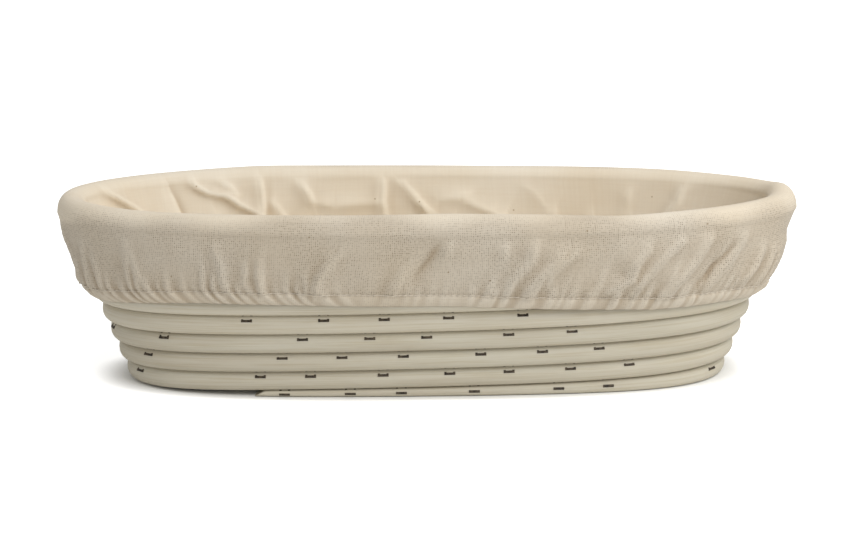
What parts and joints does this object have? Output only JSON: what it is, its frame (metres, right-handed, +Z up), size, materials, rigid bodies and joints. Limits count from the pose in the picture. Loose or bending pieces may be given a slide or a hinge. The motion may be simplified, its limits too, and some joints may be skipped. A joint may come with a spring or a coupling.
{
  "type": "proofing basket",
  "caption": "Long oval dough proofing basket wound from round rattan cane and stapled turn to turn, with a lift-out cloth liner turned over the rim and gathered by an elastic hem.",
  "frame": {"origin": "on the table, under the middle of the basket", "axes": "+X along the basket, +Y from the front to the back, +Z up"},
  "size_m": [0.35, 0.1422, 0.0876],
  "materials": {
    "cane": "matte, unvarnished",
    "staple_wire": "dull",
    "cloth": "coarse plain weave",
    "elastic": "braided"
  },
  "bodies": {
    "basket": {"floor_core": "cane", "floor_cane": "cane", "wall_cane_lower": "cane", "wall_cane_middle": "cane", "wall_cane_upper": "cane", "floor_staples_1": "staple_wire", "floor_staples_2": "staple_wire", "floor_staples_3": "staple_wire", "floor_staples_4": "staple_wire", "wall_staples_1": "staple_wire", "wall_staples_2": "staple_wire", "wall_staples_3": "staple_wire", "wall_staples_4": "staple_wire", "wall_staples_5": "staple_wire", "wall_staples_6": "staple_wire", "wall_staples_7": "staple_wire", "wall_staples_8": "staple_wire", "wall_staples_9": "staple_wire"},
    "liner": {"liner_bag": "cloth", "liner_skirt": "cloth", "hem_elastic": "elastic"}
  },
  "joints": [
    {"name": "liner_lift", "type": "slide", "parent": "basket", "child": "liner", "axis": [0, 0, 1], "range_m": [0, 0.1], "deforming": ["liner_skirt", "hem_elastic"]}
  ]
}
